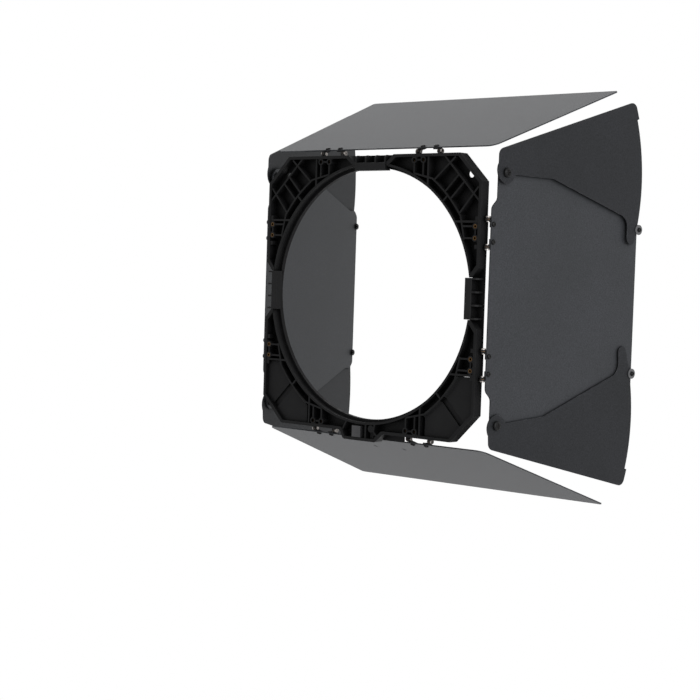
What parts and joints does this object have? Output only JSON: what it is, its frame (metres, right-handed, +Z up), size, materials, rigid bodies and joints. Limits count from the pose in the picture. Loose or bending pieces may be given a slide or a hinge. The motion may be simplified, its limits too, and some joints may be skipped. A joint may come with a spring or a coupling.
{
  "type": "barn door attachment",
  "caption": "Four-leaf barn door for a large Fresnel stage light: octagonal frame, hinged leaves, and fan-out corner flaps on the side leaves",
  "frame": {"origin": "centre of the light aperture, on the frame's front face", "axes": "-Y is the way the light leaves, +Y the lamp side, +Z up, -X the near side"},
  "size_m": [0.4638, 0.2651, 0.5048],
  "materials": {
    "frame_moulding": "black glass-filled nylon, fine spark-eroded texture",
    "lug_moulding": "black nylon, a little smoother than the frame",
    "catch_moulding": "dark grey nylon, smooth",
    "leaf_coat": "fine-textured black powder coat on aluminium sheet",
    "bracket_steel": "black zinc-plated steel strip",
    "bright_steel": "bright zinc-plated",
    "brass": "plain brass, slightly dulled",
    "black_screw": "black-oxide steel",
    "pale_washer": "pale nylon, smooth",
    "black_washer": "black-oxide steel"
  },
  "bodies": {
    "frame": {"frame": "frame_moulding", "lug_top": "lug_moulding", "lug_near": "lug_moulding", "lug_far": "lug_moulding", "catch_block": "catch_moulding", "lug_screws": "black_screw", "bracket_screws": "black_screw", "threaded_inserts": "brass", "frame_brackets_top": "bracket_steel", "hinge_pins_top": "bright_steel", "friction_washers_top": "brass", "frame_brackets_far": "bracket_steel", "hinge_pins_far": "bright_steel", "friction_washers_far": "brass", "frame_brackets_bottom": "bracket_steel", "hinge_pins_bottom": "bright_steel", "friction_washers_bottom": "brass", "frame_brackets_near": "bracket_steel", "hinge_pins_near": "bright_steel", "friction_washers_near": "brass"},
    "leaf_top": {"leaf_top": "leaf_coat", "leaf_brackets_top": "bracket_steel", "leaf_screws_top": "black_screw"},
    "leaf_bottom": {"leaf_bottom": "leaf_coat", "leaf_brackets_bottom": "bracket_steel", "leaf_screws_bottom": "black_screw"},
    "leaf_near": {"leaf_near": "leaf_coat", "leaf_brackets_near": "bracket_steel", "leaf_screws_near": "black_screw", "pivot_screws_near": "black_screw", "pivot_washers_near": "black_washer", "stop_screws_near": "black_screw", "stop_washers_near": "pale_washer", "leaf_nuts_near": "black_screw"},
    "flap_near_up": {"flap_near_up": "leaf_coat"},
    "flap_near_down": {"flap_near_down": "leaf_coat"},
    "leaf_far": {"leaf_far": "leaf_coat", "leaf_brackets_far": "bracket_steel", "leaf_screws_far": "black_screw", "pivot_screws_far": "black_screw", "pivot_washers_far": "black_washer", "stop_screws_far": "black_screw", "stop_washers_far": "pale_washer", "leaf_nuts_far": "black_screw"},
    "flap_far_up": {"flap_far_up": "leaf_coat"},
    "flap_far_down": {"flap_far_down": "leaf_coat"}
  },
  "joints": [
    {"name": "leaf_near_hinge", "type": "hinge", "parent": "frame", "child": "leaf_near", "pos_m": [-0.1689, 0.0051, 0], "axis": [0, 0, -1], "range_deg": [-42, 82]},
    {"name": "leaf_far_hinge", "type": "hinge", "parent": "frame", "child": "leaf_far", "pos_m": [0.1689, 0.0051, 0], "axis": [0, 0, 1], "range_deg": [-49, 75]},
    {"name": "leaf_top_hinge", "type": "hinge", "parent": "frame", "child": "leaf_top", "pos_m": [0, -0.0043, 0.1689], "axis": [1, 0, 0], "range_deg": [-69, 52]},
    {"name": "leaf_bottom_hinge", "type": "hinge", "parent": "frame", "child": "leaf_bottom", "pos_m": [0, -0.0043, -0.1689], "axis": [-1, 0, 0], "range_deg": [-70, 50]},
    {"name": "flap_near_up_pivot", "type": "hinge", "parent": "leaf_near", "child": "flap_near_up", "pos_m": [-0.17828, -0.01157, 0.1432], "axis": [-0.9905, 0.1374, 0], "range_deg": [-31, 1]},
    {"name": "flap_near_down_pivot", "type": "hinge", "parent": "leaf_near", "child": "flap_near_down", "pos_m": [-0.17828, -0.01157, -0.1432], "axis": [0.9905, -0.1374, 0], "range_deg": [-27, 4.5]},
    {"name": "flap_far_up_pivot", "type": "hinge", "parent": "leaf_far", "child": "flap_far_up", "pos_m": [0.18027, -0.01028, 0.1432], "axis": [-0.9659, -0.2588, 0], "range_deg": [-31, 1]},
    {"name": "flap_far_down_pivot", "type": "hinge", "parent": "leaf_far", "child": "flap_far_down", "pos_m": [0.18027, -0.01028, -0.1432], "axis": [0.9659, 0.2588, 0], "range_deg": [-27, 4.5]}
  ]
}
